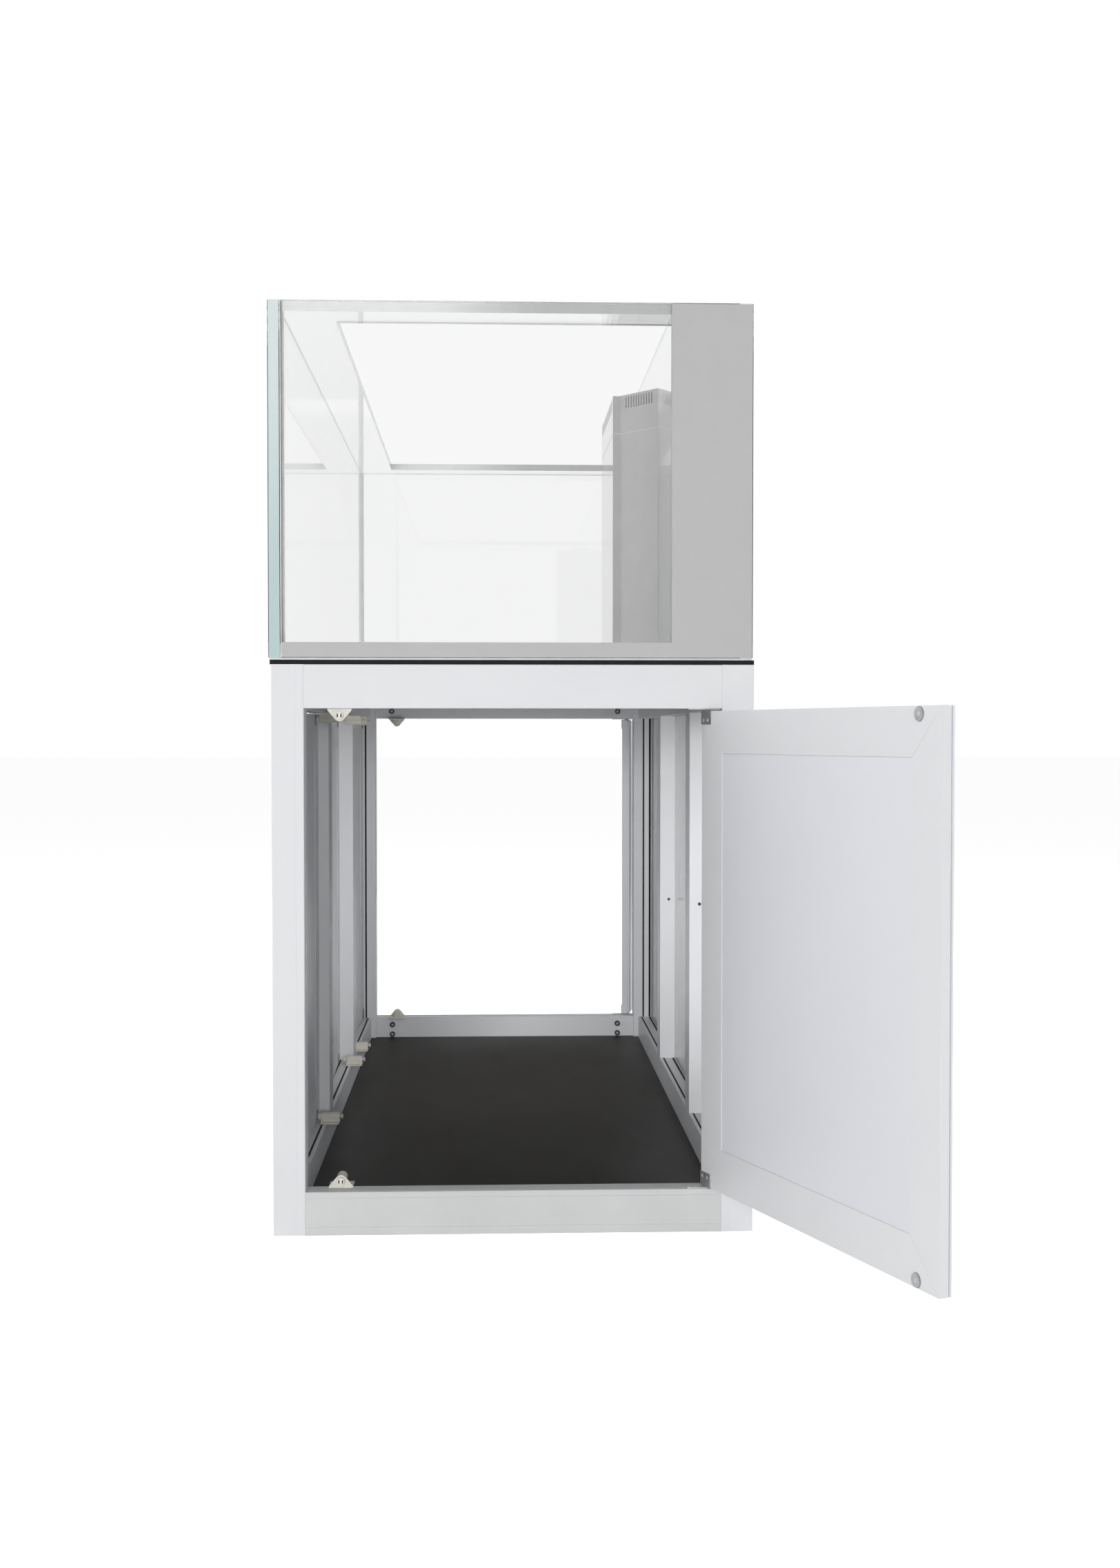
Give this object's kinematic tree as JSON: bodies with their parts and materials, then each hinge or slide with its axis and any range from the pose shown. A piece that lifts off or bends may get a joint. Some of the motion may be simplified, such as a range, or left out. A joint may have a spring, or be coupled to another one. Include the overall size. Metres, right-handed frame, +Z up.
{
  "type": "aquarium on stand",
  "caption": "Rimless glass aquarium with a rear overflow chamber on a white aluminium-profile stand with touch-latch doors at both ends and along the front.",
  "frame": {"origin": "on the floor at the middle of the stand's footprint", "axes": "+X along the length towards the near end, +Y towards the back, +Z up; the long side with the doors faces -Y"},
  "size_m": [2.9956, 0.9293, 1.45],
  "materials": {
    "profile": "white powder coat, satin",
    "door_panel": "white satin laminate on a light core",
    "back_panel": "glossy white sheet",
    "floor_board": "black matt laminate",
    "black_board": "black sheet",
    "mat": "thin light foam",
    "black_steel": "black oxide",
    "steel": "zinc plated",
    "seal": "matt",
    "catch": "ivory moulding",
    "plunger": "ivory moulding",
    "glass": "polished float glass",
    "weir": "grey acrylic",
    "silicone": "grey silicone",
    "film": "grey film",
    "pipework": "dark grey PVC"
  },
  "bodies": {
    "stand_and_tank": {"post_front_near": "profile", "post_front_far": "profile", "post_back_near": "profile", "post_back_far": "profile", "end_rail_near_bottom": "profile", "end_rail_near_top": "profile", "end_rail_far_bottom": "profile", "end_rail_far_top": "profile", "front_rail_bottom": "profile", "front_rail_top": "profile", "back_rail_bottom": "profile", "back_rail_top": "profile", "front_mullions": "profile", "back_mullions": "profile", "back_panels": "back_panel", "floor_board": "floor_board", "top_board": "black_board", "levelling_mat": "mat", "frame_screws": "black_steel", "groove_seals": "seal", "hinge_pivots": "steel", "catch_bodies": "catch", "bottom_pane": "glass", "front_pane": "glass", "back_pane": "glass", "end_panes": "glass", "chamber_wall": "glass", "braces": "glass", "weir_box": "weir", "weir_comb": "weir", "silicone_joints": "silicone", "edge_film": "film", "bulkhead_bodies": "pipework", "bulkhead_nuts": "pipework", "bulkhead_gaskets": "seal"},
    "near_door": {"near_door_frame": "profile", "near_door_panel": "door_panel", "near_door_hardware": "steel"},
    "far_door": {"far_door_frame": "profile", "far_door_panel": "door_panel", "far_door_hardware": "steel"},
    "front_door_a": {"front_door_a_frame": "profile", "front_door_a_panel": "door_panel", "front_door_a_hardware": "steel"},
    "front_door_b": {"front_door_b_frame": "profile", "front_door_b_panel": "door_panel", "front_door_b_hardware": "steel"},
    "front_door_c": {"front_door_c_frame": "profile", "front_door_c_panel": "door_panel", "front_door_c_hardware": "steel"},
    "near_plunger_bottom": {"near_plunger_bottom": "plunger"},
    "near_plunger_top": {"near_plunger_top": "plunger"},
    "far_plunger_bottom": {"far_plunger_bottom": "plunger"},
    "far_plunger_top": {"far_plunger_top": "plunger"},
    "plunger_a_bottom": {"plunger_a_bottom": "plunger"},
    "plunger_a_top": {"plunger_a_top": "plunger"},
    "plunger_b_bottom": {"plunger_b_bottom": "plunger"},
    "plunger_b_top": {"plunger_b_top": "plunger"},
    "plunger_c_bottom": {"plunger_c_bottom": "plunger"},
    "plunger_c_top": {"plunger_c_top": "plunger"}
  },
  "joints": [
    {"name": "near_door_hinge", "type": "hinge", "parent": "stand_and_tank", "child": "near_door", "pos_m": [0.8905, 0.309, 0.445], "axis": [0, 0, 1], "range_deg": [-111, 5]},
    {"name": "far_door_hinge", "type": "hinge", "parent": "stand_and_tank", "child": "far_door", "pos_m": [-0.8905, 0.309, 0.445], "axis": [0, 0, -1], "range_deg": [-100, 16]},
    {"name": "front_door_a_hinge", "type": "hinge", "parent": "stand_and_tank", "child": "front_door_a", "pos_m": [0.834, -0.3655, 0.445], "axis": [0, 0, 1], "range_deg": [0, 116]},
    {"name": "front_door_b_hinge", "type": "hinge", "parent": "stand_and_tank", "child": "front_door_b", "pos_m": [0.24467, -0.3655, 0.445], "axis": [0, 0, 1], "range_deg": [-1.2, 114.8]},
    {"name": "front_door_c_hinge", "type": "hinge", "parent": "stand_and_tank", "child": "front_door_c", "pos_m": [-0.834, -0.3655, 0.445], "axis": [0, 0, -1], "range_deg": [-1.2, 114.8]},
    {"name": "near_plunger_bottom_push", "type": "slide", "parent": "stand_and_tank", "child": "near_plunger_bottom", "axis": [1, 0, 0], "range_m": [-0.003, 0.009], "stiffness_N_per_m": 300},
    {"name": "near_plunger_top_push", "type": "slide", "parent": "stand_and_tank", "child": "near_plunger_top", "axis": [1, 0, 0], "range_m": [-0.003, 0.009], "stiffness_N_per_m": 300},
    {"name": "far_plunger_bottom_push", "type": "slide", "parent": "stand_and_tank", "child": "far_plunger_bottom", "axis": [-1, 0, 0], "range_m": [-0.003, 0.009], "stiffness_N_per_m": 300},
    {"name": "far_plunger_top_push", "type": "slide", "parent": "stand_and_tank", "child": "far_plunger_top", "axis": [-1, 0, 0], "range_m": [-0.003, 0.009], "stiffness_N_per_m": 300},
    {"name": "plunger_a_bottom_push", "type": "slide", "parent": "stand_and_tank", "child": "plunger_a_bottom", "axis": [0, -1, 0], "range_m": [-0.003, 0], "stiffness_N_per_m": 300},
    {"name": "plunger_a_top_push", "type": "slide", "parent": "stand_and_tank", "child": "plunger_a_top", "axis": [0, -1, 0], "range_m": [-0.003, 0], "stiffness_N_per_m": 300},
    {"name": "plunger_b_bottom_push", "type": "slide", "parent": "stand_and_tank", "child": "plunger_b_bottom", "axis": [0, -1, 0], "range_m": [-0.003, 0.009], "stiffness_N_per_m": 300},
    {"name": "plunger_b_top_push", "type": "slide", "parent": "stand_and_tank", "child": "plunger_b_top", "axis": [0, -1, 0], "range_m": [-0.003, 0.009], "stiffness_N_per_m": 300},
    {"name": "plunger_c_bottom_push", "type": "slide", "parent": "stand_and_tank", "child": "plunger_c_bottom", "axis": [0, -1, 0], "range_m": [-0.003, 0.009], "stiffness_N_per_m": 300},
    {"name": "plunger_c_top_push", "type": "slide", "parent": "stand_and_tank", "child": "plunger_c_top", "axis": [0, -1, 0], "range_m": [-0.003, 0.009], "stiffness_N_per_m": 300}
  ]
}
